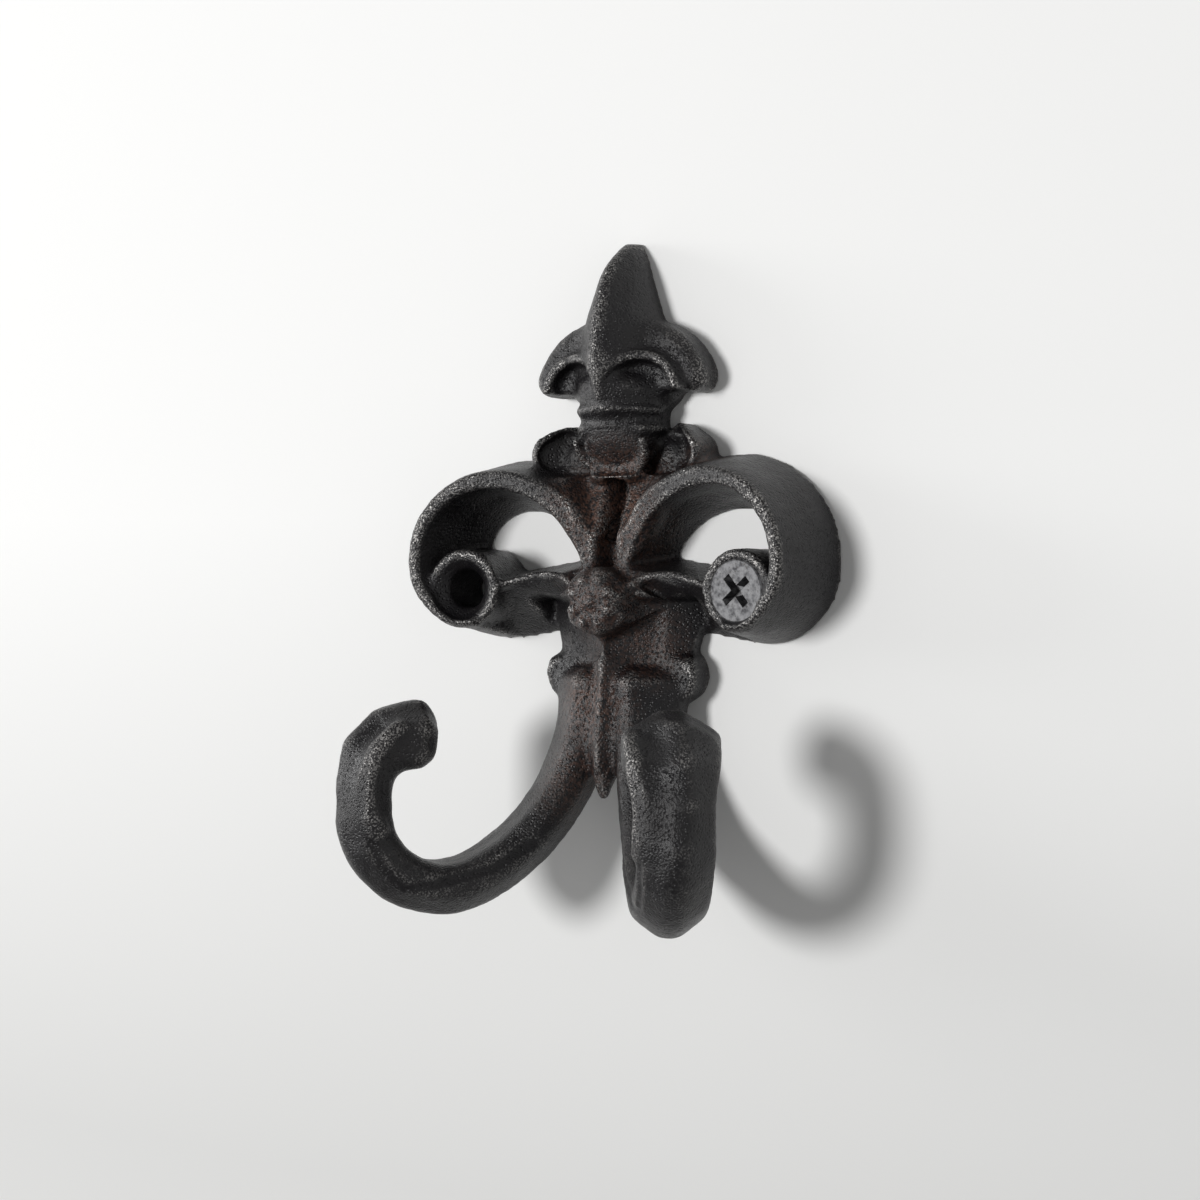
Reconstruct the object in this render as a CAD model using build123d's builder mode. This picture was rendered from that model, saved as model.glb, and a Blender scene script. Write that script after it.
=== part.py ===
"""Cast-iron double coat hook with a fleur finial, a pair of scroll eyes and two splayed arms.

Frame: +Z up, X to the right, the back of the casting lies on the wall plane Y = 0 and the front faces -Y.
The origin is on the wall, midway between the two screw eyes. Sizes are in millimetres.
"""
import os
from math import cos, radians, sin, tan

from build123d import *

# Screw eyes and the screw
eye_spread = 42.0
eye_height = 10.3
eye_radius = 5.3
hole_radius = 2.6
hole_lean = 7.0
countersink_radius = 4.15
countersink_angle = 90.0
screw_head_radius = 4.0
screw_shank_radius = 2.0
screw_length = 25.0
screw_point_length = 5.0
screw_seat_gap = 0.05
recess_span = 4.8
recess_width = 1.1
recess_depth = 1.4
recess_taper = 12.0
recess_turn = 40.0

# Scroll straps
scroll_start_x = 1.85
scroll_start_z = 2.9
scroll_start_heading = 76.0
scroll_rise_radius = 15.3
scroll_crown_radius = 11.0
scroll_tail_radius = 7.4
scroll_tail_turn = 100.0
strap_rim_width = 1.5
strap_inner_spread = 3.4
strap_outer_spread = 2.3
strap_height = 12.6
flank_break = 5.5
flank_hollow = 0.35
valley_height = 7.2

# Rails from the eyes to the column
rail_ridge = 8.5
rail_inner_z = 3.0
rail_outer_z = 0.0
rail_top_slope = 2.3
rail_underside = 7.0
rail_bevel = 0.9

# Column between the scrolls and the arms, with an ear on each side
column_top_z = 1.0
column_half_width = 11.4
column_shoulder_z = -3.0
column_waist = 10.4
column_waist_z = -7.2
column_foot_half_width = 6.0
column_foot_z = -16.5
column_plate = 4.6
column_corner_round = 3.0
column_bevel = 1.8
core_half_width = 7.6
core_shoulder = 4.6
core_depth = 7.8
core_bevel = 1.5
core_foot_z = -14.0
core_foot_share = 0.84
ear_reach = 11.6
ear_z = -11.2
ear_radius = 3.7
ear_depth = 4.4

# Panel between the straps, with its lozenge groove
panel_top_z = 14.8
panel_top_half_width = 9.0
panel_half_width = 11.0
panel_shoulder_z = 13.4
lozenge_width = 4.0
lozenge_height = 8.6
lozenge_z = 10.4
lozenge_depth = 2.0
lozenge_taper = 35.0

# Rosette on the column
rosette_z = -1.5
rosette_height = 11.4
rosette_radius = 4.5
rosette_drum = 9.9
rosette_petals = 5
rosette_petal_radius = 1.7
rosette_ring_radius = 2.6
rosette_petal_height = 1.0
rosette_boss_radius = 1.9
calyx_half_width = 8.2
calyx_half_height = 5.4
calyx_depth = 8.2

# Neck, collar and the three lobes below it
neck_half_width = 5.7
neck_shoulder = 5.2
neck_depth = 7.2
neck_foot_z = 19.0
neck_top_z = 25.0
neck_bevel = 1.5
collar_base_z = 19.7
bead_height = 2.4
bead_count = 2
bead_overhang = 0.7
bead_bevel = 1.0
bead_back = 2.2
lobe_x = 9.3
lobe_z = 18.3
lobe_long = 3.8
lobe_short = 2.7
lobe_tilt = -35.0
lobe_depth = 4.2
lobe_height = 6.0
lobe_turn = 40.0
lobe_rim = 0.7
lobe_scoop = 1.1
tongue_radius = 5.0
tongue_z = 20.0
tongue_depth = 7.6
tongue_lean = 38.0
tongue_rim = 0.8
tongue_scoop = 0.8
leaf_half_width = 7.0
leaf_depth = 2.4

# Fleur: a centre petal with a hood at its foot, and two side petals
petal_foot_z = 24.0
petal_tip_z = 45.5
petal_half_width = 5.5
petal_shoulder = 4.8
petal_ridge = 8.5
petal_rounding = 0.3
hood_x = 4.9
hood_z = 25.2
hood_radius = 4.4
hood_floor = 4.9
hood_rim_width = 1.3
hood_rim_depth = 7.0
side_petal_top_z = 34.9
side_petal_low_z = 25.7
side_petal_reach = 12.8
side_petal_bow = 9.7
side_petal_tip_z = 28.4
side_petal_shoulder_z = 32.8
side_petal_depth = 5.2
side_petal_bevel = 1.1

# Arms
arm_splay = 37.5
arm_root_x = 4.4
arm_root_depth = 3.5
arm_top_z = -10.2
arm_top_bevel = 1.5
arm_bottom_z = -39.1
arm_sweep_radius = 27.8
arm_sweep_turn = 65.0
arm_bowl_radius = 11.2
arm_rise = 3.2
arm_curl_radius = 6.6
arm_curl_turn = 98.0
arm_tip_length = 2.2
arm_width = 9.3
arm_thickness = 7.7
arm_keel = 3.6
arm_bevel = 1.4
tip_width = 12.4
tip_thickness = 9.8
tip_end_scale = 0.7
curl_steps = 3

# Keel that joins the two arms below the column
keel_top_z = -9.0
keel_knee_z = -18.0
keel_foot_z = -26.0
keel_depth = 8.3
keel_foot_depth = 7.0
keel_back = 3.5
keel_half_width = 1.6
keel_bevel = 1.1

wall = Plane.XZ
eye_x = eye_spread / 2
lean = radians(hole_lean)
splay = radians(arm_splay)


def front(depth):
    return wall.offset(depth)


def level(z):
    return Plane.XY.offset(z)


def spine_section(plane, half_width, shoulder, ridge, bevel):
    """Section of the spine: flat on the wall, straight sides and a low bevelled ridge in front."""
    with BuildSketch(plane) as section:
        with BuildLine():
            Polyline(
                (-half_width, 0),
                (half_width, 0),
                (half_width, -shoulder),
                (0, -ridge),
                (-half_width, -shoulder),
                close=True,
            )
        make_face()
        chamfer(section.vertices().sort_by(Axis.Y)[:3], bevel)
    return section.sketch


# Scroll strap: a drafted band with a hollow inner flank, swept up from the valley and over to below the eye
start = radians(scroll_start_heading)
scroll_reach = scroll_start_x + scroll_rise_radius * sin(start) + scroll_crown_radius
rim_slope = (strap_height - valley_height) / scroll_reach
rim_plane = Plane(origin=(0, -valley_height, 0), x_dir=(0, 0, 1), z_dir=(-rim_slope, -1, 0))
with BuildPart() as strap:
    with BuildLine(wall) as scroll:
        foot = (scroll_start_x, scroll_start_z)
        rise = JernArc(foot, (cos(start), sin(start)), scroll_rise_radius, -scroll_start_heading)
        crown = JernArc(rise @ 1, rise % 1, scroll_crown_radius, -90)
        JernArc(crown @ 1, crown % 1, scroll_tail_radius, -scroll_tail_turn)
    rim = strap_rim_width / 2
    with BuildSketch(Plane(origin=rise @ 0, x_dir=(-sin(start), 0, cos(start)), z_dir=rise % 0)):
        with BuildLine():
            Polyline(
                (-rim, strap_height),
                (rim, strap_height),
                (rim + strap_outer_spread, 0),
                (-rim - strap_inner_spread, 0),
                (-rim - strap_inner_spread * flank_hollow, flank_break),
                close=True,
            )
        make_face()
    sweep(path=scroll.line)
    split(bisect_by=rim_plane, keep=Keep.BOTTOM)

# Screw eye: a round boss whose axis leans towards the middle of the hook
eye_front = Plane(
    origin=(eye_x, -eye_height, 0), x_dir=(cos(lean), -sin(lean), 0), z_dir=(-sin(lean), -cos(lean), 0)
)
eye_length = eye_height / cos(lean) + 2 * eye_radius * tan(lean)
with BuildPart() as eye:
    with Locations(eye_front):
        Cylinder(eye_radius, eye_length, align=(Align.CENTER, Align.CENTER, Align.MAX))

# Rail: a ridge from the middle of the column to the eye, steep above and long below
with BuildPart() as rail:
    for x, z in ((0, rail_inner_z), (eye_x - eye_radius / 2, rail_outer_z)):
        with BuildSketch(Plane.YZ.offset(x)) as ridge:
            with BuildLine():
                Polyline((0, z + rail_top_slope), (-rail_ridge, z), (0, z - rail_underside), close=True)
            make_face()
            chamfer(ridge.vertices().sort_by(Axis.X)[0], rail_bevel)
    loft()

# Column plate, narrowing to its foot, and the ear beside it
with BuildPart() as plate:
    with BuildSketch(wall) as outline:
        with BuildLine():
            Polyline(
                (0, column_top_z),
                (column_half_width, column_top_z),
                (column_half_width, column_shoulder_z),
                (column_waist, column_waist_z),
                (column_foot_half_width, column_foot_z),
                (0, column_foot_z),
                close=True,
            )
        make_face()
        corners = outline.vertices().filter_by(lambda v: column_foot_z < v.Y < column_top_z)
        fillet(corners, column_corner_round)
    extrude(amount=column_plate)
    outer_edges = plate.faces().sort_by(Axis.Y)[0].edges().filter_by(
        lambda e: column_foot_z < e.center().Z < column_top_z and e.center().X > column_bevel
    )
    chamfer(outer_edges, column_bevel)

with BuildPart() as ear:
    with BuildSketch(wall):
        with Locations((ear_reach - ear_radius, ear_z)):
            Circle(ear_radius)
    extrude(amount=ear_depth)

with BuildPart() as core:
    core_sizes = (core_half_width, core_shoulder, core_depth, core_bevel)
    core_top = spine_section(level(rail_inner_z), *core_sizes)
    core_foot = spine_section(level(core_foot_z), *(core_foot_share * size for size in core_sizes))
    loft([core_foot, core_top], ruled=True)

# Panel between the straps
with BuildPart() as panel:
    with BuildSketch(wall):
        with BuildLine():
            Polyline(
                (0, column_top_z),
                (scroll_start_x, column_top_z),
                (panel_half_width, panel_shoulder_z),
                (panel_top_half_width, panel_top_z),
                (0, panel_top_z),
                close=True,
            )
        make_face()
        mirror(about=Plane.YZ)
    extrude(amount=valley_height)
    with BuildSketch(front(valley_height)):
        with BuildLine():
            Polyline(
                (-lozenge_width / 2, lozenge_z),
                (0, lozenge_z - lozenge_height / 2),
                (lozenge_width / 2, lozenge_z),
                (0, lozenge_z + lozenge_height / 2),
                close=True,
            )
        make_face()
    extrude(amount=-lozenge_depth, taper=lozenge_taper, mode=Mode.SUBTRACT)

# Neck with its bead rings
with BuildPart() as neck:
    extrude(
        spine_section(level(neck_foot_z), neck_half_width, neck_shoulder, neck_depth, neck_bevel),
        amount=neck_top_z - neck_foot_z,
    )

with BuildPart() as bead:
    extrude(
        spine_section(
            level(collar_base_z),
            neck_half_width + bead_overhang,
            neck_shoulder + bead_overhang,
            neck_depth + bead_overhang,
            neck_bevel,
        ),
        amount=bead_height,
    )
    split(bisect_by=front(bead_back), keep=Keep.TOP)
    hoops = bead.edges().filter_by(Plane.XY).filter_by(lambda e: e.center().Y < -bead_back - bead_bevel)
    chamfer(hoops, bead_bevel)

# Side lobe below the collar: its face turns in to the tongue and is hollowed to a rim
turn = radians(lobe_turn)
lobe_front = Plane(
    origin=(lobe_x, -lobe_depth, lobe_z),
    x_dir=(cos(turn), -sin(turn), 0),
    z_dir=(-sin(turn), -cos(turn), 0),
)
with BuildPart() as lobe:
    with BuildSketch(wall):
        with Locations((lobe_x, lobe_z)):
            SlotOverall(2 * lobe_long, 2 * lobe_short, rotation=lobe_tilt)
    extrude(amount=lobe_height)
    split(bisect_by=lobe_front, keep=Keep.BOTTOM)
    with BuildSketch(lobe_front):
        SlotOverall(2 * (lobe_long - lobe_rim), 2 * (lobe_short - lobe_rim), rotation=lobe_tilt)
    extrude(amount=-lobe_scoop, mode=Mode.SUBTRACT)

# Tongue: the middle lobe, leaning back as it drops, with a raised rim, on the thin back of the leaf
slope = radians(tongue_lean)
tongue_front = Plane(
    origin=(0, -tongue_depth, tongue_z + tongue_radius / 2),
    x_dir=(1, 0, 0),
    z_dir=(0, -cos(slope), -sin(slope)),
)
with BuildPart() as tongue:
    with BuildSketch(wall):
        with Locations((0, tongue_z)):
            Circle(tongue_radius)
    extrude(amount=tongue_depth)
    split(bisect_by=tongue_front, keep=Keep.BOTTOM)
    split(bisect_by=level(collar_base_z), keep=Keep.BOTTOM)
    with BuildSketch(tongue_front):
        with Locations((0, -tongue_radius / 2)):
            Circle(tongue_radius - tongue_rim)
    extrude(amount=-tongue_scoop, mode=Mode.SUBTRACT)
    with BuildSketch(wall):
        with Locations((0, (panel_shoulder_z + neck_foot_z) / 2)):
            Rectangle(2 * leaf_half_width, neck_foot_z - panel_shoulder_z)
    extrude(amount=leaf_depth)

# Centre petal: each station gives shares of the height, half width, shoulder depth and ridge depth
with BuildPart() as petal:
    stations = (
        (0.0, 1.0, 0.96, 0.84),
        (0.28, 1.0, 1.0, 1.0),
        (0.49, 0.91, 0.94, 0.98),
        (0.68, 0.69, 0.79, 0.9),
        (0.86, 0.46, 0.58, 0.68),
        (1.0, 0.22, 0.2, 0.26),
    )
    sections = []
    for share, half, side, ridge in stations:
        sections.append(
            spine_section(
                level(petal_foot_z + share * (petal_tip_z - petal_foot_z)),
                half * petal_half_width,
                side * petal_shoulder,
                ridge * petal_ridge,
                half * petal_half_width * petal_rounding,
            )
        )
    loft(sections)
    with BuildSketch(front(hood_floor)):
        with Locations((-hood_x, hood_z), (hood_x, hood_z)):
            Circle(hood_radius)
    extrude(amount=petal_ridge, mode=Mode.SUBTRACT)

# Side petal: a drooping lobe with a raised rim that arches over a hood beside the centre petal
with BuildPart() as side_petal:
    with BuildSketch(wall):
        with BuildLine():
            top = ThreePointArc(
                (0, side_petal_top_z),
                (side_petal_bow, side_petal_shoulder_z),
                (side_petal_reach, side_petal_tip_z),
            )
            TangentArc(top @ 1, (side_petal_bow, side_petal_low_z), tangent=top % 1)
            Polyline((side_petal_bow, side_petal_low_z), (0, side_petal_low_z), (0, side_petal_top_z))
        make_face()
    extrude(amount=side_petal_depth)
    face = side_petal.faces().sort_by(Axis.Y)[0]
    chamfer(face.edges().filter_by(lambda e: e.center().X > side_petal_bevel), side_petal_bevel)
    hood_reach = hood_radius + hood_rim_width
    with BuildSketch(wall):
        with Locations((hood_x, hood_z)):
            Circle(hood_reach)
        with Locations((hood_x, side_petal_low_z)):
            Rectangle(2 * hood_reach, hood_reach, align=(Align.CENTER, Align.MIN), mode=Mode.INTERSECT)
    extrude(amount=hood_rim_depth)
    with BuildSketch(front(hood_floor)):
        with Locations((hood_x, hood_z)):
            Circle(hood_radius)
    extrude(amount=hood_rim_depth, mode=Mode.SUBTRACT)

# Arm: a keeled bar that drops from the column, sweeps forward and rises, then curls in to a flared tip
arm_across = Vector(cos(splay), sin(splay), 0)
arm_plane = Plane(
    origin=(arm_root_x, -arm_root_depth, 0),
    x_dir=(sin(splay), -cos(splay), 0),
    z_dir=(-cos(splay), -sin(splay), 0),
)
with BuildLine(arm_plane) as arm_path:
    sweep_sine = sin(radians(arm_sweep_turn))
    arm_drop = arm_sweep_radius * sweep_sine + arm_bowl_radius * (1 - sweep_sine)
    stem = Line((0, arm_top_z), (0, arm_bottom_z + arm_drop))
    reach = JernArc(stem @ 1, stem % 1, arm_sweep_radius, arm_sweep_turn)
    bowl = JernArc(reach @ 1, reach % 1, arm_bowl_radius, 180 - arm_sweep_turn)
    climb = Line(bowl @ 1, bowl @ 1 + (bowl % 1) * arm_rise)
with BuildLine(arm_plane):
    curl = JernArc(climb @ 1, climb % 1, arm_curl_radius, arm_curl_turn)
    tip = Line(curl @ 1, curl @ 1 + (curl % 1) * arm_tip_length)


def bar_section(spot, along, flare, size):
    """Section of the arm: a flat throat, short sides and a keel behind, flared and scaled at the tip."""
    half = size * (arm_width + (tip_width - arm_width) * flare) / 2
    deep = size * (arm_thickness + (tip_thickness - arm_thickness) * flare) / 2
    with BuildSketch(Plane(origin=spot, x_dir=arm_across, z_dir=along)) as bar:
        with BuildLine():
            Polyline(
                (-half, deep),
                (half, deep),
                (half, size * arm_keel - deep),
                (0, -deep),
                (-half, size * arm_keel - deep),
                close=True,
            )
        make_face()
        rows = bar.vertices().group_by(Axis.Y)
        chamfer(rows[0] + rows[-1], arm_bevel * size)
    return bar.sketch


with BuildPart() as arm:
    sweep(bar_section(stem @ 0, stem % 0, 0, 1), path=arm_path.line)
    turns = [i / curl_steps for i in range(curl_steps + 1)]
    flared = [bar_section(curl @ u, curl % u, u, 1) for u in turns]
    loft(flared + [bar_section(tip @ 1, tip % 1, 1, tip_end_scale)], ruled=True)
    chamfer(arm.faces().filter_by(Axis.Z).sort_by(Axis.Z)[-1].edges(), arm_top_bevel)

# Keel between the arms: a narrow ridge that fades out at the fork
with BuildPart() as keel:
    with BuildSketch(Plane.YZ):
        with BuildLine():
            Polyline(
                (-keel_back, keel_top_z),
                (-keel_depth, keel_top_z),
                (-keel_depth, keel_knee_z),
                (-keel_foot_depth, keel_foot_z),
                (-keel_back, keel_knee_z),
                close=True,
            )
        make_face()
    extrude(amount=keel_half_width, both=True)
    side_edges = keel.edges().filter_by(Plane.YZ)
    chamfer(side_edges.filter_by(lambda e: e.center().Y < -keel_foot_depth), keel_bevel)

# Rosette: a ring of small petals round a boss, on a drum with a diamond calyx behind it
with BuildPart() as rosette:
    with BuildSketch(wall):
        with Locations((0, rosette_z)):
            Polygon(
                (-calyx_half_width, 0),
                (0, -calyx_half_height),
                (calyx_half_width, 0),
                (0, calyx_half_height),
            )
    extrude(amount=calyx_depth)
    for depth, radius in ((rosette_drum, rosette_radius), (rosette_height, rosette_boss_radius)):
        with BuildSketch(wall):
            with Locations((0, rosette_z)):
                Circle(radius)
        extrude(amount=depth)
    with BuildSketch(front(rosette_drum)):
        with Locations((0, rosette_z)):
            with PolarLocations(rosette_ring_radius, rosette_petals):
                Circle(rosette_petal_radius)
    extrude(amount=rosette_petal_height)

# The casting in one piece, trimmed flat on the wall, with its countersunk holes
with BuildPart() as casting:
    for side in (strap, eye, rail, plate, ear, lobe, side_petal, arm):
        add(side.part)
    mirror(about=Plane.YZ)
    for middle in (core, keel, panel, neck, tongue, petal, rosette):
        add(middle.part)
    for i in range(bead_count):
        with Locations((0, 0, i * bead_height)):
            add(bead.part)
    split(bisect_by=wall, keep=Keep.TOP)
    left_front = Plane(
        origin=(-eye_x, -eye_height, 0), x_dir=(cos(lean), sin(lean), 0), z_dir=(sin(lean), -cos(lean), 0)
    )
    with Locations(eye_front, left_front):
        CounterSinkHole(hole_radius, countersink_radius, 2 * eye_length, countersink_angle)

# Wood screw in the right eye, its head seated in the countersink
flank = radians(countersink_angle / 2)
head_sink = (countersink_radius - screw_head_radius - screw_seat_gap / cos(flank)) / tan(flank)
head_height = (screw_head_radius - screw_shank_radius) / tan(flank)
screw_top = eye_front.offset(-head_sink)
with BuildPart() as screw:
    with BuildSketch(Plane(origin=screw_top.origin, x_dir=screw_top.x_dir, z_dir=-screw_top.y_dir)):
        with BuildLine():
            Polyline(
                (0, 0),
                (screw_head_radius, 0),
                (screw_shank_radius, -head_height),
                (screw_shank_radius, screw_point_length - screw_length),
                (0, -screw_length),
                close=True,
            )
        make_face()
    revolve(axis=Axis(screw_top.origin, screw_top.z_dir))
    with BuildSketch(screw_top):
        for slot_turn in (recess_turn, recess_turn + 90):
            Rectangle(recess_span, recess_width, rotation=slot_turn)
    extrude(amount=-recess_depth, taper=recess_taper, mode=Mode.SUBTRACT)

os.makedirs("parts", exist_ok=True)
casting.part.label = "hook_casting"
screw.part.label = "wood_screw"
export_step(casting.part, "parts/hook_casting.step")
export_step(screw.part, "parts/wood_screw.step")
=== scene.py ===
import math

import bmesh
import bpy
import numpy as np
from mathutils import Matrix, Vector, noise


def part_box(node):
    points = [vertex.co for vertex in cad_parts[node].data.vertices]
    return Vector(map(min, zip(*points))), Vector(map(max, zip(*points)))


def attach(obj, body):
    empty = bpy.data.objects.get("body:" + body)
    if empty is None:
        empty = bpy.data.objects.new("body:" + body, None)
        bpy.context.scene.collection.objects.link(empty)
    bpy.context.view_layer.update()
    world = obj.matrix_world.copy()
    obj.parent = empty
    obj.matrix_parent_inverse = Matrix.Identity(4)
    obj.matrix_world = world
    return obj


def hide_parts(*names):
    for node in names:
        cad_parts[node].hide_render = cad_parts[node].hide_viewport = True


mm = 0.001
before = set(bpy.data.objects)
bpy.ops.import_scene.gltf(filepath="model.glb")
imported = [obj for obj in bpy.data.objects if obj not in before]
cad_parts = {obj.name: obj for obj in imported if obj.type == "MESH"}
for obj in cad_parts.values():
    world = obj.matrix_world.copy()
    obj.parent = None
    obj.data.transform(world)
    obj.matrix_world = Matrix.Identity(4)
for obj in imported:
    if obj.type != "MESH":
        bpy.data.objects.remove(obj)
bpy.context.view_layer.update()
print("frame loaded:", ", ".join(sorted(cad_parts)))


# small helpers for meshes and shader nodes

def newPiece(name, mesh):
    piece = bpy.data.objects.new(name, mesh)
    bpy.context.scene.collection.objects.link(piece)
    return piece


def meshOf(verts, faces, name):
    mesh = bpy.data.meshes.new(name)
    mesh.from_pydata([tuple(v) for v in verts], [], faces)
    mesh.update()
    return mesh


def settle(piece):
    # bakes the modifier stack into the mesh
    graph = bpy.context.evaluated_depsgraph_get()
    baked = bpy.data.meshes.new_from_object(piece.evaluated_get(graph))
    piece.modifiers.clear()
    old = piece.data
    piece.data = baked
    bpy.data.meshes.remove(old)


def node(tree, kind, place, **settings):
    made = tree.nodes.new(kind)
    made.location = place
    for key, value in settings.items():
        setattr(made, key, value)
    return made


def blendColours(tree, place, factor, first, second):
    mix = node(tree, "ShaderNodeMix", place, data_type="RGBA")
    tree.links.new(factor, mix.inputs[0])
    for spot, colour in ((6, first), (7, second)):
        if isinstance(colour, bpy.types.NodeSocket):
            tree.links.new(colour, mix.inputs[spot])
        else:
            mix.inputs[spot].default_value = (*colour, 1)
    return mix.outputs[2]


def stretch(tree, place, source, low, high, toLow=0.0, toHigh=1.0):
    span = node(tree, "ShaderNodeMapRange", place, clamp=True)
    tree.links.new(source, span.inputs["Value"])
    span.inputs["From Min"].default_value = low
    span.inputs["From Max"].default_value = high
    span.inputs["To Min"].default_value = toLow
    span.inputs["To Max"].default_value = toHigh
    return span.outputs["Result"]


def times(tree, place, first, second):
    product = node(tree, "ShaderNodeMath", place, operation="MULTIPLY")
    tree.links.new(first, product.inputs[0])
    tree.links.new(second, product.inputs[1])
    return product.outputs[0]


# cast iron finish: waxed black-brown, grainy, bare on the crests and rusty in the middle
ironFinish = {
    "black": (0.0038, 0.0031, 0.0042),
    "soot": (0.0080, 0.0068, 0.0074),
    "rust": (0.095, 0.047, 0.032),
    "bare": (0.30, 0.29, 0.28),
    "grainPerMetre": 4200,
    "fleckPerMetre": 2100,
    "pitPerMetre": 2300,
    "cloudPerMetre": 170,
    "noiseRoughness": 0.6,
    # where each noise or map starts to show and where it shows in full
    "sootSpan": (0.38, 0.66),
    "rustSpan": (0.42, 0.62),
    "crestSpan": (0.7, 1.8),
    "wornSpan": (0.5, 0.62),
    "roughSpan": (0.3, 0.7),
    "pitSpan": (0.05, 0.45),
    "bump": 0.13 * mm,
    "bumpStrength": 0.8,
    "roughness": (0.32, 0.50),
    "gloss": 0.45,
}


def castIron():
    s = ironFinish
    iron = bpy.data.materials.new("castIron")
    iron.use_nodes = True
    tree = iron.node_tree
    shader = tree.nodes["Principled BSDF"]
    place = node(tree, "ShaderNodeTexCoord", (-1500, 0)).outputs["Object"]
    crest = node(tree, "ShaderNodeAttribute", (-1500, 400), attribute_name="crest").outputs["Fac"]
    rustMap = node(tree, "ShaderNodeAttribute", (-1500, 600), attribute_name="rust").outputs["Fac"]

    def speckle(perMetre, detail, y):
        made = node(tree, "ShaderNodeTexNoise", (-1250, y))
        made.inputs["Scale"].default_value = perMetre
        made.inputs["Detail"].default_value = detail
        made.inputs["Roughness"].default_value = s["noiseRoughness"]
        tree.links.new(place, made.inputs["Vector"])
        return made.outputs["Fac"]

    grain = speckle(s["grainPerMetre"], 2, -100)
    cloud = speckle(s["cloudPerMetre"], 4, 200)
    flecks = speckle(s["fleckPerMetre"], 3, 500)
    pits = node(tree, "ShaderNodeTexVoronoi", (-1250, -400))
    pits.inputs["Scale"].default_value = s["pitPerMetre"]
    tree.links.new(place, pits.inputs["Vector"])

    # colour: soot clouds over black, rust where the map has it, bare metal flecks along the crests
    clouded = stretch(tree, (-950, 250), cloud, *s["sootSpan"])
    sooty = blendColours(tree, (-700, 300), clouded, s["black"], s["soot"])
    rusty = times(tree, (-750, 600), rustMap, stretch(tree, (-950, 600), flecks, *s["rustSpan"]))
    tinted = blendColours(tree, (-500, 350), rusty, sooty, s["rust"])
    worn = times(
        tree, (-750, 800),
        stretch(tree, (-950, 850), crest, *s["crestSpan"]),
        stretch(tree, (-950, 1050), grain, *s["wornSpan"]),
    )
    coloured = blendColours(tree, (-300, 400), worn, tinted, s["bare"])
    rough = stretch(tree, (-500, 0), cloud, *s["roughSpan"], *s["roughness"])
    tree.links.new(coloured, shader.inputs["Base Color"])
    tree.links.new(worn, shader.inputs["Metallic"])
    tree.links.new(rough, shader.inputs["Roughness"])
    shader.inputs["Specular IOR Level"].default_value = s["gloss"]

    # relief: grain with shallow pits
    pitDepth = stretch(tree, (-950, -400), pits.outputs["Distance"], *s["pitSpan"])
    relief = node(tree, "ShaderNodeMath", (-700, -250), operation="ADD")
    tree.links.new(grain, relief.inputs[0])
    tree.links.new(pitDepth, relief.inputs[1])
    bump = node(tree, "ShaderNodeBump", (-350, -250))
    bump.inputs["Strength"].default_value = s["bumpStrength"]
    bump.inputs["Distance"].default_value = s["bump"]
    tree.links.new(relief.outputs[0], bump.inputs["Height"])
    tree.links.new(bump.outputs["Normal"], shader.inputs["Normal"])
    return iron


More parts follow.
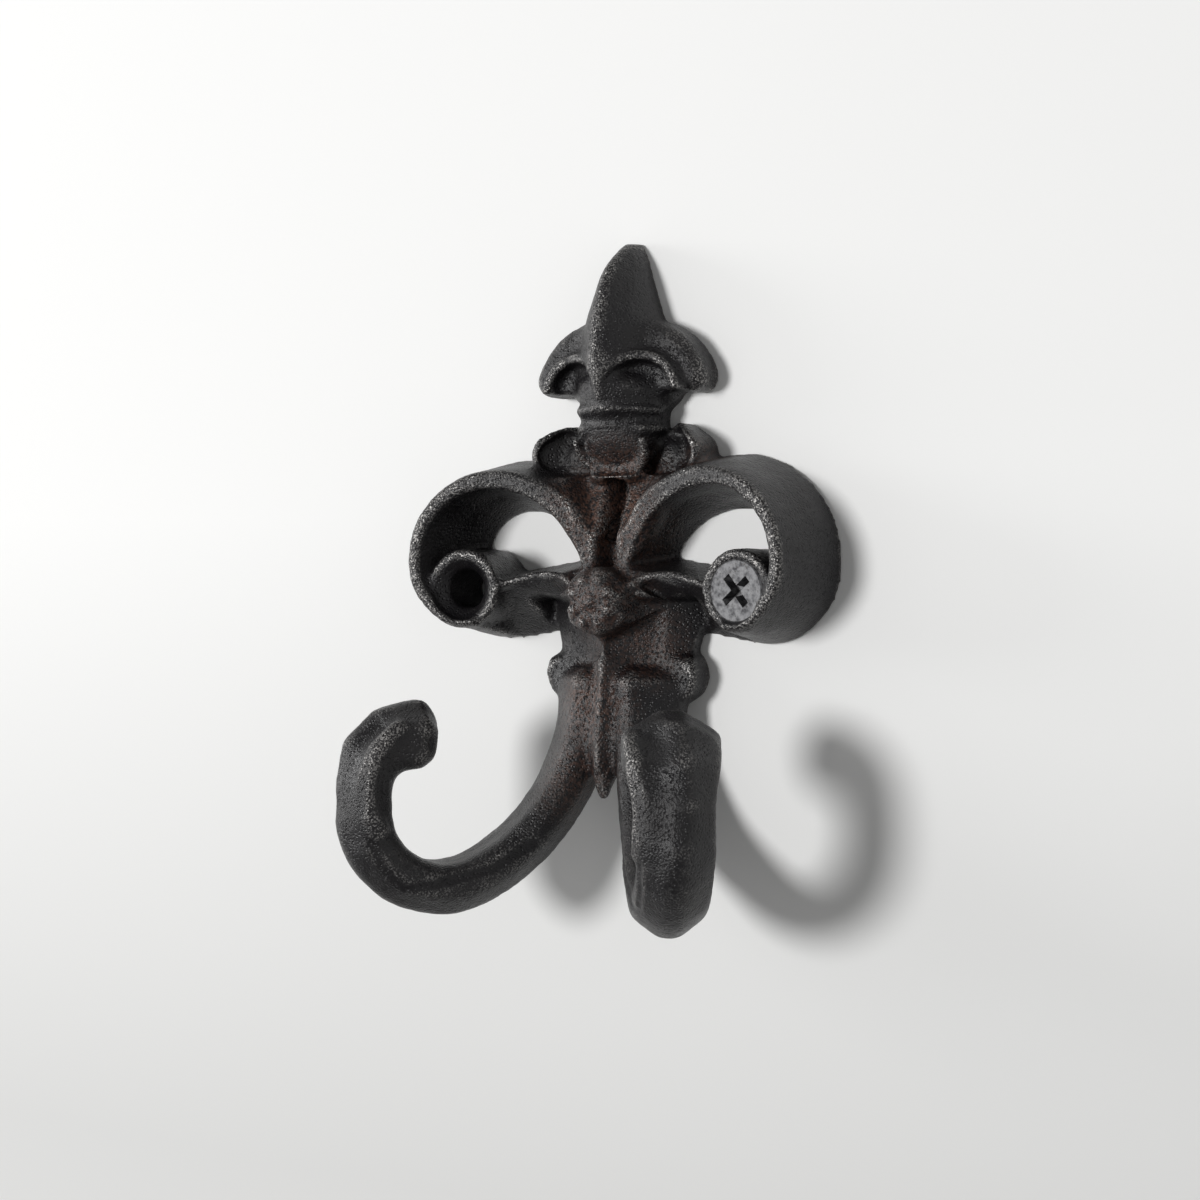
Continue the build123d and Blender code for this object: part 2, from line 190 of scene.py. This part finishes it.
# carving on the casting, in millimetres on its right half; the left half is the mirror image
carving = {
    # rolls of iron: points (x, y, z), then the radius at the start and at the end
    "rolls": {
        "railArch": ([(17, -9.1, 0.2), (14.6, -8.2, 0.9), (11.5, -7.6, 1.8), (9, -7.4, 2.1),
                      (6.6, -7.7, 1.7), (5.0, -8.3, 0.9), (4.0, -8.9, 0.2)], 0.6, 0.6),
        "tongueRim": ([(0, -4.0, 15.1), (2.7, -4.3, 15.5), (4.8, -5.2, 17.0), (5.3, -6.3, 18.7),
                       (5.0, -6.9, 19.8)], 0.95, 0.5),
        "keelWeb": ([(0, -3.4, -6), (0, -5.2, -12), (0, -6.2, -17), (0, -6.8, -21)], 3.3, 2.7),
        "keelFoot": ([(0, -6.6, -19), (0, -7.2, -22.5), (0, -7.8, -25.2), (0, -7.8, -27.6)], 2.8, 0.7),
        "keelCrest": ([(0, -7.6, -6), (0, -8.1, -9), (0, -8.6, -13), (0, -9.3, -18),
                       (0, -9.7, -23.5)], 0.45, 0.35),
    },
    # swellings of iron: centre (x, y, z), half sizes, turn about the X axis in degrees
    "swells": {
        "prow": ((0, -1.5, 25.9), (8.0, 5.4, 3.5), 0),
        "tongue": ((0, -4.8, 18.0), (4.4, 1.2, 3.6), 38),
        "shoulder": ((7.0, -1.2, 17.2), (3.4, 2.5, 3.0), 0),
        "panelLeaf": ((3.0, -5.6, 11.2), (2.5, 1.9, 4.2), -14),
        "rosetteSide": ((2.6, -10.7, -0.4), (1.05, 1.0, 1.05), 0),
        "rosetteTop": ((1.1, -10.7, 1.1), (1.05, 1.0, 1.05), 0),
        "rosetteLow": ((2.6, -10.7, -2.6), (1.05, 1.0, 1.05), 0),
        "rosetteFoot": ((1.1, -10.7, -4.1), (1.05, 1.0, 1.05), 0),
        "rosetteHeart": ((0, -11.2, -1.5), (1.2, 0.8, 1.2), 0),
    },
    # lines: points (x, y, z), reach to each side and depth, a negative depth stands proud
    "lines": {
        "armCrease": ([(19.9, -31.3, -31.9), (19, -29.7, -35.4), (17.5, -27.6, -37.9), (15.1, -25.1, -37.7),
                       (13.3, -22.7, -37), (10, -18.5, -35.8), (6.7, -14.2, -32.8)], 0.8, 0.3),
        "armFace": ([(20.8, -28.8, -17), (22.8, -30, -20), (24, -30.4, -24), (24.1, -30.2, -27.5),
                     (23, -29.2, -31)], 3.2, 1.1),
        "armRidge": ([(17.2, -29.0, -17), (19.2, -30.4, -20), (20.4, -30.9, -24), (20.5, -30.7, -27.5),
                      (19.8, -29.9, -30.5)], 1.9, -0.9),
        "panelSpear": ([(0, -4.6, 13.6), (0, -5.8, 10), (0, -6.8, 6.5), (0, -7.4, 4)], 2.0, 1.5),
    },
    # sand pits on the left arm only: centre, reach and depth
    "pits": [((-22.3, -26.5, -17.0), 0.9, 0.4), ((-22.9, -26.5, -18.6), 0.7, 0.35)],
    # faces that lean back: heights and fronts there, how the middle widens with height, distances from it
    # and what they add to the front, then distances from the axis and the face's top there
    "leans": {
        "panel": ((4.5, 8, 12, 15.2), (9, 6.8, 5.0, 3.6), 0.52, (0.6, 3.6), (0, 9),
                  (0, 2.7, 4.2, 5.4, 6.4, 8, 9.5), (14.0, 14.3, 15.0, 15.7, 15.4, 14.9, 14.5)),
        "cheek": ((-9.6, -8.6, -1.4, 0), (9, 0, 0, 9), 0, (3.4, 4.6, 6.8, 12.5), (12, 6.6, 5.0, 0.9),
                  (0, 12.5), (0, 0)),
    },
    "leanReach": 12.5,
    # the finial comes to an edge in front: heights, how far forward, and reach to each side
    "edgeHeights": (21, 25, 30, 34, 40, 45.5),
    "edgeRaise": (0.3, 2.6, 3.0, 2.5, 1.5, 0.6),
    "edgeReach": 6.5,
    # distance from the wall where the raise begins, and what it takes to reach its full height
    "edgeFrom": 1.5,
    "edgeRamp": 4,
}

# the casting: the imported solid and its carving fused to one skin, softened, and left as the sand made it
casting = {
    "weld": 0.002 * mm,
    "cell": 0.385 * mm,
    # softening passes by height in millimetres
    "softHeights": (-45, -20, -13, -10, -6, 13.4, 14.2, 14.9, 15.6, 26, 31, 36, 45),
    "softPasses": (20, 16, 9, 7, 4, 4, 12, 12, 4, 6, 6, 5, 3),
    "softShare": 0.5,
    "flatBack": 0.3 * mm,
    "lumpHeight": 0.14 * mm,
    "lumpPerMetre": 240,
    "sandHeight": 0.05 * mm,
    "sandPerMetre": 1100,
    "tipHeight": 0.5 * mm,
    "tipPerMetre": 480,
    "tipAt": (13, -21, -15),
    "tipReach": 6,
    "tipEdge": 1.3,
    "crestReach": 14,
    "crestHeight": 0.16 * mm,
    "crestLimit": 2,
    "rustEdge": 1.2,
    # rust spots: centre (x, y, z), radius, strength
    "rustSpots": [
        ((0, -6, 10.5), 9, 1.3),
        ((0, -10, -2), 8, 0.7),
        ((-2, -8.5, -15), 7, 0.9),
        ((-3, -9, -24), 7, 0.6),
        ((13, -4, 16), 4, 0.6),
        ((5, -6, -7), 6, 0.6),
    ],
}


def ironRoll(path, start, end, side):
    curve = bpy.data.curves.new("roll", "CURVE")
    curve.dimensions = "3D"
    curve.bevel_depth = mm
    curve.bevel_resolution = 3
    curve.resolution_u = 6
    curve.use_fill_caps = True
    line = curve.splines.new("NURBS")
    line.points.add(len(path) - 1)
    for i, (x, y, z) in enumerate(path):
        line.points[i].co = (side * x * mm, y * mm, z * mm, 1)
        line.points[i].radius = start + (end - start) * i / (len(path) - 1)
    line.order_u = 3
    line.use_endpoint_u = True
    holder = newPiece("roll", curve)
    graph = bpy.context.evaluated_depsgraph_get()
    mesh = bpy.data.meshes.new_from_object(holder.evaluated_get(graph))
    bpy.data.objects.remove(holder)
    return mesh


def ironSwell(centre, half, lean, side):
    bm = bmesh.new()
    bmesh.ops.create_uvsphere(bm, u_segments=32, v_segments=20, radius=1)
    spot = Matrix.Translation(Vector((side * centre[0], centre[1], centre[2])) * mm)
    turn = Matrix.Rotation(math.radians(lean), 4, "X")
    bm.transform(spot @ turn @ Matrix.Diagonal((*(size * mm for size in half), 1)))
    mesh = bpy.data.meshes.new("swell")
    bm.to_mesh(mesh)
    bm.free()
    return mesh


def fuseIron(meshes, name):
    bm = bmesh.new()
    for mesh in meshes:
        bm.from_mesh(mesh)
    bmesh.ops.remove_doubles(bm, verts=bm.verts, dist=casting["weld"])
    fused = bpy.data.meshes.new(name)
    bm.to_mesh(fused)
    bm.free()
    piece = newPiece(name, fused)
    skin = piece.modifiers.new("skin", "REMESH")
    skin.mode = "VOXEL"
    skin.voxel_size = casting["cell"]
    settle(piece)
    return piece


def readPoints(mesh, field="co"):
    flat = np.zeros(len(mesh.vertices) * 3)
    mesh.vertices.foreach_get(field, flat)
    return flat.reshape(-1, 3)


def readEdges(mesh):
    flat = np.zeros(len(mesh.edges) * 2, int)
    mesh.edges.foreach_get("vertices", flat)
    return flat.reshape(-1, 2)


def writePoints(mesh, points):
    mesh.vertices.foreach_set("co", points.ravel())
    mesh.update()


def writeMap(mesh, name, values):
    layer = mesh.attributes.new(name, "FLOAT", "POINT")
    layer.data.foreach_set("value", np.asarray(values, np.float32))


def averaged(points, edges):
    # each point's mean of its neighbours
    first, second = edges[:, 0], edges[:, 1]
    size = len(points)
    count = np.bincount(edges.ravel(), minlength=size)
    total = [
        np.bincount(first, points[second, k], size) + np.bincount(second, points[first, k], size)
        for k in range(3)
    ]
    return np.stack(total, 1) / count[:, None]


def soften(mesh):
    points = readPoints(mesh)
    edges = readEdges(mesh)
    passes = np.interp(points[:, 2] / mm, casting["softHeights"], casting["softPasses"])
    for i in range(int(passes.max()) + 1):
        share = casting["softShare"] * np.clip(passes - i, 0, 1)[:, None]
        points += share * (averaged(points, edges) - points)
    writePoints(mesh, points)


def toLine(points, path):
    # distance from each point to a line of straight runs
    nearest = np.full(len(points), 1e9)
    for a, b in zip(path[:-1], path[1:]):
        run = b - a
        along = np.clip((points - a) @ run / (run @ run), 0, 1)
        nearest = np.minimum(nearest, np.linalg.norm(points - a - along[:, None] * run, axis=1))
    return nearest


def carveLines(mesh):
    points = readPoints(mesh)
    normals = readPoints(mesh, "normal")
    cut = np.zeros(len(points))
    for path, reach, depth in carving["lines"].values():
        for side in (1, -1):
            line = np.array(path) * mm * (side, 1, 1)
            near = np.clip(1 - (toLine(points, line) / (reach * mm)) ** 2, 0, 1)
            cut += depth * mm * near ** 2
    for spot, reach, depth in carving["pits"]:
        away = np.linalg.norm(points - np.array(spot) * mm, axis=1)
        cut += depth * mm * np.clip(1 - (away / (reach * mm)) ** 2, 0, 1)
    writePoints(mesh, points - normals * cut[:, None])


def leanFaces(mesh):
    points = readPoints(mesh)
    x, z = np.abs(points[:, 0]) / mm, points[:, 2] / mm
    for heights, fronts, growth, widths, extra, spans, tops in carving["leans"].values():
        fromMiddle = x - growth * (z - heights[0])
        front = np.interp(z, heights, fronts) + np.interp(fromMiddle, widths, extra)
        inside = (z > heights[0]) & (z < np.interp(x, spans, tops)) & (x < carving["leanReach"])
        points[:, 1] = np.where(inside, np.maximum(points[:, 1], -front * mm), points[:, 1])
    writePoints(mesh, points)


def raiseEdge(mesh):
    s = carving
    points = readPoints(mesh)
    x, depth, z = np.abs(points[:, 0]) / mm, -points[:, 1] / mm, points[:, 2] / mm
    raised = np.interp(z, s["edgeHeights"], s["edgeRaise"], left=0)
    raised = raised * np.clip(1 - x / s["edgeReach"], 0, 1)
    points[:, 1] -= raised * np.clip((depth - s["edgeFrom"]) / s["edgeRamp"], 0, 1) * mm
    writePoints(mesh, points)


def sandSurface(mesh, low, high):
    s = casting
    points = readPoints(mesh)
    normals = readPoints(mesh, "normal")
    mirrored = np.abs(points) * (1, 0, 0) + points * (0, 1, 1)
    away = np.linalg.norm(mirrored - np.array(s["tipAt"]) * mm, axis=1) / (s["tipReach"] * mm)
    ragged = np.clip(s["tipEdge"] - away, 0, 1)  # the ends of the arms are roughly fettled
    lift = np.array([
        s["lumpHeight"] * noise.noise(Vector(p) * s["lumpPerMetre"])
        + s["sandHeight"] * noise.noise(Vector(p) * s["sandPerMetre"])
        + s["tipHeight"] * rag * noise.noise(Vector(p) * s["tipPerMetre"])
        for p, rag in zip(points, ragged)
    ])
    lift[points[:, 1] > -s["flatBack"]] = 0      # the back stays flat on the wall
    points = np.clip(points + normals * lift[:, None], low, high)
    writePoints(mesh, points)

    edges = readEdges(mesh)
    rolled = points
    for _ in range(s["crestReach"]):
        rolled = averaged(rolled, edges)
    crest = ((points - rolled) * normals).sum(1) / s["crestHeight"]
    writeMap(mesh, "crest", np.clip(crest, -s["crestLimit"], s["crestLimit"]))
    rust = np.zeros(len(points))
    for centre, radius, strength in s["rustSpots"]:
        away = np.linalg.norm(points - np.array(centre) * mm, axis=1) / (radius * mm)
        rust = np.maximum(rust, strength * np.clip(s["rustEdge"] - away, 0, 1))
    writeMap(mesh, "rust", rust)


low, high = (np.array(corner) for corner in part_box("hook_casting"))
raised = [ironRoll(*roll, side) for roll in carving["rolls"].values() for side in (1, -1)]
raised += [ironSwell(*swell, side) for swell in carving["swells"].values() for side in (1, -1)]
ironCasting = fuseIron([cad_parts["hook_casting"].data] + raised, "ironCasting")
leanFaces(ironCasting.data)
soften(ironCasting.data)
raiseEdge(ironCasting.data)
carveLines(ironCasting.data)
sandSurface(ironCasting.data, low, high)
ironCasting.data.materials.clear()
ironCasting.data.materials.append(castIron())
ironCasting.data.polygons.foreach_set("use_smooth", [True] * len(ironCasting.data.polygons))
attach(ironCasting, "root")
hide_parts("hook_casting")
print("casting:", len(ironCasting.data.vertices), "points,", 2 * len(ironCasting.data.polygons), "triangles")


# screw steel: dull zinc grey with scuffs
steelFinish = {
    "bright": (0.20, 0.20, 0.205),
    "dull": (0.04, 0.04, 0.043),
    "stain": (0.05, 0.045, 0.042),
    "blotchPerMetre": 1500,
    "scuffPerMetre": 3500,
    # where each noise starts to show and where it shows in full
    "patchSpan": (0.32, 0.64),
    "stainSpan": (0.58, 0.72),
    "roughSpan": (0.3, 0.7),
    "roughness": (0.38, 0.62),
    "metallic": 0.75,
    "bump": 0.03 * mm,
}


def screwSteel():
    s = steelFinish
    steel = bpy.data.materials.new("screwSteel")
    steel.use_nodes = True
    tree = steel.node_tree
    shader = tree.nodes["Principled BSDF"]
    place = node(tree, "ShaderNodeTexCoord", (-1300, 0)).outputs["Object"]

    def blotch(perMetre, y):
        made = node(tree, "ShaderNodeTexNoise", (-1050, y))
        made.inputs["Scale"].default_value = perMetre
        made.inputs["Detail"].default_value = 4
        tree.links.new(place, made.inputs["Vector"])
        return made.outputs["Fac"]

    patches = blotch(s["blotchPerMetre"], 300)
    scuffs = blotch(s["scuffPerMetre"], 0)
    patched = stretch(tree, (-800, 300), patches, *s["patchSpan"])
    scuffed = stretch(tree, (-800, 100), scuffs, *s["stainSpan"])
    greys = blendColours(tree, (-550, 300), patched, s["dull"], s["bright"])
    stained = blendColours(tree, (-300, 300), scuffed, greys, s["stain"])
    rough = stretch(tree, (-550, 0), patches, *s["roughSpan"], *s["roughness"])
    tree.links.new(stained, shader.inputs["Base Color"])
    tree.links.new(rough, shader.inputs["Roughness"])
    shader.inputs["Metallic"].default_value = s["metallic"]
    bump = node(tree, "ShaderNodeBump", (-300, -200))
    bump.inputs["Distance"].default_value = s["bump"]
    tree.links.new(scuffs, bump.inputs["Height"])
    tree.links.new(bump.outputs["Normal"], shader.inputs["Normal"])
    return steel


# wood screw in the right eye, in millimetres: countersunk head, cross recess, rolled thread
woodScrew = {
    "headCentre": (21.0097, -10.2213, 0),
    "lean": 7.0,
    "headRadius": 4.0,
    "headEdge": 0.22,
    "edgeShares": (0.6, 1.1),
    "headTaper": 0.02,
    "headHeight": 2.0,
    # fillet under the head: how much wider than the shank, and how far it runs up and down
    "filletWidth": 0.12,
    "filletUp": 0.1,
    "filletDown": 0.35,
    "shankRadius": 2.0,
    "shankSlack": 0.05,
    "plainLength": 9.0,
    # the shank narrows to the core: start above and end below the plain length
    "narrowing": (0.6, 0.4),
    "coreRadius": 1.45,
    "length": 25.0,
    "pointLength": 5.0,
    "tipRadius": 0.05,
    "pitch": 1.7,
    "threadSteps": 28,
    "threadStop": 0.8,
    "threadSink": 0.1,
    "threadCore": 0.12,
    "threadRise": 6,
    "threadLeast": 0.4,
    "threadFoot": 0.42,
    "threadCrest": 0.06,
    "crossSpan": 4.7,
    "crossWidth": 1.0,
    "crossDepth": 1.6,
    "crossTurn": 40,
    # the cutter stands above the head, a little wider there, and narrows to its floor
    "crossAbove": 0.3,
    "crossFlare": 1.06,
    "crossFloor": (0.62, 0.7),
    "edgeRound": 0.09,
    "edgeAngle": 35,
    "round": 64,
}


def turned(profile, rounds):
    # lathe about the screw's own axis, from the middle of the head to the point
    verts = []
    faces = []
    for radius, depth in profile:
        for i in range(rounds):
            angle = 2 * math.pi * i / rounds
            verts.append((radius * math.cos(angle), radius * math.sin(angle), -depth))
    for ring in range(len(profile) - 1):
        for i in range(rounds):
            a = ring * rounds + i
            b = ring * rounds + (i + 1) % rounds
            faces.append((a, a + rounds, b + rounds, b))
    faces.append(tuple(range(rounds)))
    last = (len(profile) - 1) * rounds
    faces.append(tuple(last + i for i in reversed(range(rounds))))
    return verts, faces


def crossCutter(s):
    # a cross whose arms taper towards the floor
    half = s["crossSpan"] / 2
    w = s["crossWidth"] / 2
    ring = [(half, -w), (half, w), (w, w), (w, half), (-w, half), (-w, w),
            (-half, w), (-half, -w), (-w, -w), (-w, -half), (w, -half), (w, -w)]
    flare = s["crossFlare"]
    ends, sides = s["crossFloor"]
    verts = [(x * flare, y * (flare if abs(y) > w else 1), s["crossAbove"]) for x, y in ring]
    for x, y in ring:
        narrowX, narrowY = (ends if abs(v) > w else sides for v in (x, y))
        verts.append((x * narrowX, y * narrowY, -s["crossDepth"]))
    count = len(ring)
    faces = [tuple(range(count)), tuple(reversed(range(count, 2 * count)))]
    for i in range(count):
        j = (i + 1) % count
        faces.append((i, count + i, count + j, j))
    return verts, faces


def threadRidge(s):
    # a helix with a four-cornered section that fades in below the shank and shrinks to the point
    turns = (s["length"] - s["plainLength"] - s["threadStop"]) / s["pitch"]
    steps = int(turns * s["threadSteps"])
    foot, top = s["threadFoot"], s["threadCrest"]
    verts = []
    faces = []
    for i in range(steps + 1):
        share = i / steps
        angle = 2 * math.pi * turns * share
        depth = s["plainLength"] + s["pitch"] * turns * share
        toPoint = min(1, (s["length"] - depth) / s["pointLength"])
        core = max(s["threadCore"], s["coreRadius"] * toPoint) - s["threadSink"]
        height = s["shankRadius"] - s["coreRadius"] + s["threadSink"]
        fade = min(1, s["threadRise"] * share)
        least = s["threadLeast"]
        crest = core + height * fade * (least + (1 - least) * toPoint)
        for radius, slide in ((core, -foot), (crest, -top), (crest, top), (core, foot)):
            verts.append((radius * math.cos(angle), radius * math.sin(angle), -depth - slide))
    for i in range(steps):
        for k in range(3):
            a = 4 * i + k
            faces.append((a, a + 1, a + 5, a + 4))
        faces.append((4 * i + 3, 4 * i, 4 * i + 4, 4 * i + 7))
    faces.append((3, 2, 1, 0))
    end = 4 * steps
    faces.append((end, end + 1, end + 2, end + 3))
    return verts, faces


def buildScrew():
    s = woodScrew
    rim, under = s["edgeShares"]
    before, after = s["narrowing"]
    shank = s["shankRadius"] - s["shankSlack"]
    profile = [
        (s["headRadius"] - s["headEdge"], 0),
        (s["headRadius"], s["headEdge"] * rim),
        (s["headRadius"] - s["headTaper"], s["headEdge"] * under),
        (s["shankRadius"] + s["filletWidth"], s["headHeight"] - s["filletUp"]),
        (shank, s["headHeight"] + s["filletDown"]),
        (shank, s["plainLength"] - before),
        (s["coreRadius"], s["plainLength"] + after),
        (s["coreRadius"], s["length"] - s["pointLength"]),
        (s["tipRadius"], s["length"]),
    ]
    body = newPiece("woodScrew", meshOf(*turned(profile, s["round"]), "woodScrew"))
    cutter = newPiece("crossCutter", meshOf(*crossCutter(s), "crossCutter"))
    cutter.rotation_euler.z = math.radians(s["crossTurn"])
    cut = body.modifiers.new("cross", "BOOLEAN")
    cut.operation = "DIFFERENCE"
    cut.solver = "EXACT"
    cut.object = cutter
    edge = body.modifiers.new("edge", "BEVEL")
    edge.width = s["edgeRound"]
    edge.segments = 2
    edge.limit_method = "ANGLE"
    edge.angle_limit = math.radians(s["edgeAngle"])
    settle(body)
    bpy.data.objects.remove(cutter)
    bm = bmesh.new()
    bm.from_mesh(body.data)
    bm.from_mesh(meshOf(*threadRidge(s), "thread"))
    bmesh.ops.recalc_face_normals(bm, faces=bm.faces)
    lean = math.radians(s["lean"])
    outward = Vector((-math.sin(lean), -math.cos(lean), 0))
    across = Vector((math.cos(lean), -math.sin(lean), 0))
    upward = outward.cross(across)
    turn = Matrix((across, upward, outward)).transposed().to_4x4()
    bm.transform(Matrix.Translation(Vector(s["headCentre"]) * mm) @ turn @ Matrix.Scale(mm, 4))
    bm.to_mesh(body.data)
    bm.free()
    return body


screwPiece = buildScrew()
screwPiece.data.materials.clear()
screwPiece.data.materials.append(screwSteel())
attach(screwPiece, "root")
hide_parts("wood_screw")
print("screw:", len(screwPiece.data.polygons), "faces")


# white wall behind the hook, its paint darkened towards the bottom as painted shade of the lamps' falloff,
# open when seen from the back so that the rear of the casting can be looked at
wall = {
    "size": 3.0,
    # paint at the top and at the bottom: the darker bottom is painted shade standing in for the lamps'
    # falloff, fading between the two heights below
    "high": (0.93, 0.93, 0.92),
    "low": (0.70, 0.70, 0.69),
    "paintedShadeFrom": -0.085,
    "paintedShadeTo": 0.01,
    "gap": 0.03 * mm,
    "roughness": 0.9,
    "gloss": 0.2,
}


def whiteWall():
    half = wall["size"] / 2
    y = wall["gap"]
    corners = [(-half, y, -half), (half, y, -half), (half, y, half), (-half, y, half)]
    piece = newPiece("wall", meshOf(corners, [(0, 1, 2, 3)], "wall"))
    paint = bpy.data.materials.new("wallPaintWithPaintedShade")
    paint.use_nodes = True
    tree = paint.node_tree
    shader = tree.nodes["Principled BSDF"]
    place = node(tree, "ShaderNodeTexCoord", (-900, 0)).outputs["Object"]
    axes = node(tree, "ShaderNodeSeparateXYZ", (-700, 0))
    tree.links.new(place, axes.inputs[0])
    # painted shade: the wall's colour darkens towards the bottom
    height = stretch(tree, (-500, 0), axes.outputs["Z"], wall["paintedShadeFrom"], wall["paintedShadeTo"])
    paintedShadeColour = blendColours(tree, (-250, 0), height, wall["low"], wall["high"])
    tree.links.new(paintedShadeColour, shader.inputs["Base Color"])
    shader.inputs["Roughness"].default_value = wall["roughness"]
    shader.inputs["Specular IOR Level"].default_value = wall["gloss"]
    side = node(tree, "ShaderNodeNewGeometry", (-200, 300))
    clear = node(tree, "ShaderNodeBsdfTransparent", (0, -300))
    either = node(tree, "ShaderNodeMixShader", (350, 200))
    tree.links.new(side.outputs["Backfacing"], either.inputs[0])
    tree.links.new(shader.outputs[0], either.inputs[1])
    tree.links.new(clear.outputs[0], either.inputs[2])
    tree.links.new(either.outputs[0], tree.nodes["Material Output"].inputs["Surface"])
    piece.data.materials.append(paint)


whiteWall()


# light: a lamp at the front left that casts the shadows, a window far to the left,
# and a room that is brighter at its sides
light = {
    "frontLevel": 0.13,
    "sideLevel": 0.76,
    "lamps": {
        # place, size and watts
        "lamp": ((-0.430, -1.117, 0.087), 0.30, 9.8),
        "window": ((-1.0, -0.26, 0.15), 0.35, 3.0),
    },
}


def lightRoom():
    world = bpy.data.worlds.new("room")
    bpy.context.scene.world = world
    world.use_nodes = True
    tree = world.node_tree
    room = tree.nodes["Background"]
    room.inputs["Color"].default_value = (1, 1, 1, 1)
    toward = node(tree, "ShaderNodeTexCoord", (-900, 0)).outputs["Generated"]
    axes = node(tree, "ShaderNodeSeparateXYZ", (-700, 0))
    tree.links.new(toward, axes.inputs[0])
    sideways = times(tree, (-500, 0), axes.outputs["X"], axes.outputs["X"])
    level = stretch(tree, (-300, 0), sideways, 0, 1, light["frontLevel"], light["sideLevel"])
    tree.links.new(level, room.inputs["Strength"])
    for name, (place, size, watts) in light["lamps"].items():
        lamp = bpy.data.lights.new(name, "AREA")
        lamp.shape = "DISK"
        lamp.size = size
        lamp.energy = watts
        holder = bpy.data.objects.new(name, lamp)
        holder.location = place
        holder.rotation_euler = (-Vector(place)).to_track_quat("-Z", "Y").to_euler()
        bpy.context.scene.collection.objects.link(holder)


lightRoom()
print("wall and lamps set")


# camera from the right of the hook, level with the eyes
view = {
    "from": (0.163255, -0.260122, 0.003667),
    "at": (-0.00567, 0, -0.00151),
    "lens": 69.49,
    "sensor": 36.0,
    "clipStart": 0.01,
}


def setCamera():
    data = bpy.data.cameras.new("camera")
    data.lens = view["lens"]
    data.sensor_width = view["sensor"]
    data.clip_start = view["clipStart"]
    camera = bpy.data.objects.new("camera", data)
    camera.location = view["from"]
    aim = Vector(view["at"]) - Vector(view["from"])
    camera.rotation_euler = aim.to_track_quat("-Z", "Y").to_euler()
    bpy.context.scene.collection.objects.link(camera)
    bpy.context.scene.camera = camera


setCamera()
bpy.context.scene.view_settings.view_transform = "Standard"
